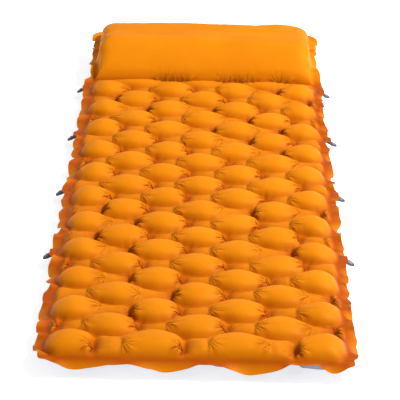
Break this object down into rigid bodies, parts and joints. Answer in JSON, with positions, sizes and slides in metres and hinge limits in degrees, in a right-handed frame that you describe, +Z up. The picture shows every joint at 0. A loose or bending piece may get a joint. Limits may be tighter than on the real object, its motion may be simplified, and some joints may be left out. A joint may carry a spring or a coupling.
{
  "type": "inflatable sleeping pad",
  "caption": "Lightweight inflatable camping pad with dot-welded air cells, a built-in tube pillow, a welded rim, side snap tabs and a two-stage flat valve.",
  "frame": {"origin": "on the ground under the middle of the pad's outline", "axes": "+Y runs along the pad towards the pillow, +X across it to the side with the sockets, +Z up"},
  "size_m": [0.6274, 1.9, 0.13],
  "materials": {
    "orange_fabric": "satin coated nylon",
    "grey_fabric": "satin coated nylon",
    "tab_fabric": "folded coated nylon",
    "snap_plastic": "moulded acetal",
    "valve_plastic": "moulded TPU, firm",
    "valve_soft_plastic": "moulded TPU, soft",
    "seal_rubber": "silicone rubber"
  },
  "bodies": {
    "pad": {"top_sheet": "orange_fabric", "bottom_sheet": "grey_fabric", "pillow_panel": "orange_fabric", "tab_patches": "tab_fabric", "valve_base": "valve_soft_plastic", "plug_tether": "valve_soft_plastic"},
    "tab_right_1": {"tab_right_1": "tab_fabric", "snap_cap_right_1": "snap_plastic", "snap_socket_right_1": "snap_plastic"},
    "tab_right_2": {"tab_right_2": "tab_fabric", "snap_cap_right_2": "snap_plastic", "snap_socket_right_2": "snap_plastic"},
    "tab_right_3": {"tab_right_3": "tab_fabric", "snap_cap_right_3": "snap_plastic", "snap_socket_right_3": "snap_plastic"},
    "tab_right_4": {"tab_right_4": "tab_fabric", "snap_cap_right_4": "snap_plastic", "snap_socket_right_4": "snap_plastic"},
    "tab_left_1": {"tab_left_1": "tab_fabric", "snap_base_left_1": "snap_plastic", "snap_stud_left_1": "snap_plastic"},
    "tab_left_2": {"tab_left_2": "tab_fabric", "snap_base_left_2": "snap_plastic", "snap_stud_left_2": "snap_plastic"},
    "tab_left_3": {"tab_left_3": "tab_fabric", "snap_base_left_3": "snap_plastic", "snap_stud_left_3": "snap_plastic"},
    "tab_left_4": {"tab_left_4": "tab_fabric", "snap_base_left_4": "snap_plastic", "snap_stud_left_4": "snap_plastic"},
    "deflation_plug": {"deflation_plug": "valve_plastic", "plug_seal": "seal_rubber"},
    "check_diaphragm": {"check_diaphragm": "seal_rubber"},
    "inflation_cap": {"inflation_cap": "valve_plastic", "cap_seal": "seal_rubber"}
  },
  "joints": [
    {"name": "tab_right_1_fold", "type": "hinge", "parent": "pad", "child": "tab_right_1", "pos_m": [0.288, 0.606, 0.0276], "axis": [0, 1, 0], "range_deg": [-20, 35], "stiffness_Nm_per_rad": 0.012},
    {"name": "tab_right_2_fold", "type": "hinge", "parent": "pad", "child": "tab_right_2", "pos_m": [0.288, 0.256, 0.0276], "axis": [0, 1, 0], "range_deg": [-20, 35], "stiffness_Nm_per_rad": 0.012},
    {"name": "tab_right_3_fold", "type": "hinge", "parent": "pad", "child": "tab_right_3", "pos_m": [0.288, -0.094, 0.0276], "axis": [0, 1, 0], "range_deg": [-20, 35], "stiffness_Nm_per_rad": 0.012},
    {"name": "tab_right_4_fold", "type": "hinge", "parent": "pad", "child": "tab_right_4", "pos_m": [0.288, -0.444, 0.0276], "axis": [0, 1, 0], "range_deg": [-20, 35], "stiffness_Nm_per_rad": 0.012},
    {"name": "tab_left_1_fold", "type": "hinge", "parent": "pad", "child": "tab_left_1", "pos_m": [-0.288, 0.606, 0.0276], "axis": [0, -1, 0], "range_deg": [-20, 35], "stiffness_Nm_per_rad": 0.012},
    {"name": "tab_left_2_fold", "type": "hinge", "parent": "pad", "child": "tab_left_2", "pos_m": [-0.288, 0.256, 0.0276], "axis": [0, -1, 0], "range_deg": [-20, 35], "stiffness_Nm_per_rad": 0.012},
    {"name": "tab_left_3_fold", "type": "hinge", "parent": "pad", "child": "tab_left_3", "pos_m": [-0.288, -0.094, 0.0276], "axis": [0, -1, 0], "range_deg": [-20, 35], "stiffness_Nm_per_rad": 0.012},
    {"name": "tab_left_4_fold", "type": "hinge", "parent": "pad", "child": "tab_left_4", "pos_m": [-0.288, -0.444, 0.0276], "axis": [0, -1, 0], "range_deg": [-20, 35], "stiffness_Nm_per_rad": 0.012},
    {"name": "plug_hinge", "type": "hinge", "parent": "pad", "child": "deflation_plug", "pos_m": [0.171, 0.90432, 0.09792], "axis": [0, -0.7071, 0.7071], "range_deg": [0, 135]},
    {"name": "cap_hinge", "type": "hinge", "parent": "deflation_plug", "child": "inflation_cap", "pos_m": [0.2025, 0.90644, 0.10004], "axis": [0, 0.7071, -0.7071], "range_deg": [0, 135]},
    {"name": "diaphragm_lift", "type": "slide", "parent": "deflation_plug", "child": "check_diaphragm", "axis": [0, -0.7071, -0.7071], "range_m": [0, 0.0015], "stiffness_N_per_m": 40}
  ]
}
